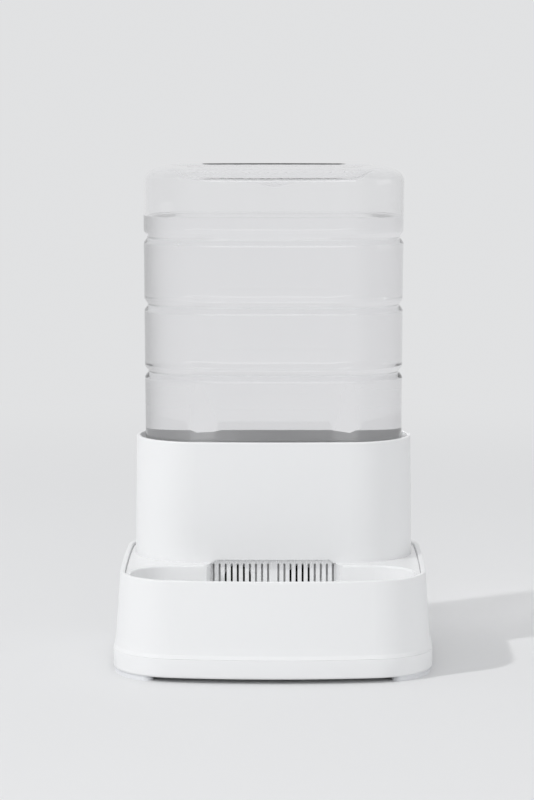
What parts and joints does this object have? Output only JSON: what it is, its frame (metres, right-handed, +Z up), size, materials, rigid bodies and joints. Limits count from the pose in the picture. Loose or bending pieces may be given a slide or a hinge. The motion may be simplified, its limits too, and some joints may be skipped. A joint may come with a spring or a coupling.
{
  "type": "gravity pet water dispenser",
  "caption": "Clear tank upside down in an oval collar on a wide white base with a drinking bowl, a slotted filter window and a sprung outlet valve.",
  "frame": {"origin": "on the floor under the middle of the base", "axes": "+Z up, the bowl towards -Y, +X to the right seen from the bowl"},
  "size_m": [0.23, 0.227, 0.3576],
  "materials": {
    "shell_white": "satin moulded white",
    "tray_white": "satin moulded white, polished inside the bowl",
    "cover_white": "satin moulded white",
    "collar_white": "satin moulded white",
    "tank_clear": "clear blown plastic",
    "cap_white": "satin moulded white",
    "valve_white": "satin moulded white",
    "grille_white": "satin moulded white",
    "frame_white": "satin moulded white",
    "carbon_felt": "black felt",
    "seal_rubber": "soft translucent grey",
    "foot_rubber": "soft translucent grey",
    "spring_steel": "drawn wire",
    "screw_steel": "zinc plated"
  },
  "bodies": {
    "dispenser": {"base_shell": "shell_white", "base_tray": "tray_white", "base_cover": "cover_white", "tank_collar": "collar_white", "tank": "tank_clear", "tank_cap": "cap_white", "cap_gasket": "seal_rubber", "valve_guide": "valve_white", "valve_spring": "spring_steel", "filter_grille": "grille_white", "filter_frame": "frame_white", "filter_pad": "carbon_felt", "foot_front_left": "foot_rubber", "foot_front_right": "foot_rubber", "foot_back_left": "foot_rubber", "foot_back_right": "foot_rubber", "cover_screw_1": "screw_steel", "cover_screw_2": "screw_steel", "cover_screw_3": "screw_steel", "cover_screw_4": "screw_steel", "cover_screw_5": "screw_steel", "cover_screw_6": "screw_steel"},
    "valve": {"valve_plunger": "valve_white", "valve_seal": "seal_rubber"}
  },
  "joints": [
    {"name": "valve_slide", "type": "slide", "parent": "dispenser", "child": "valve", "axis": [0, 0, 1], "range_m": [0, 0.0045], "stiffness_N_per_m": 150, "springref_m": -0.006, "deforming": ["valve_spring"]}
  ]
}
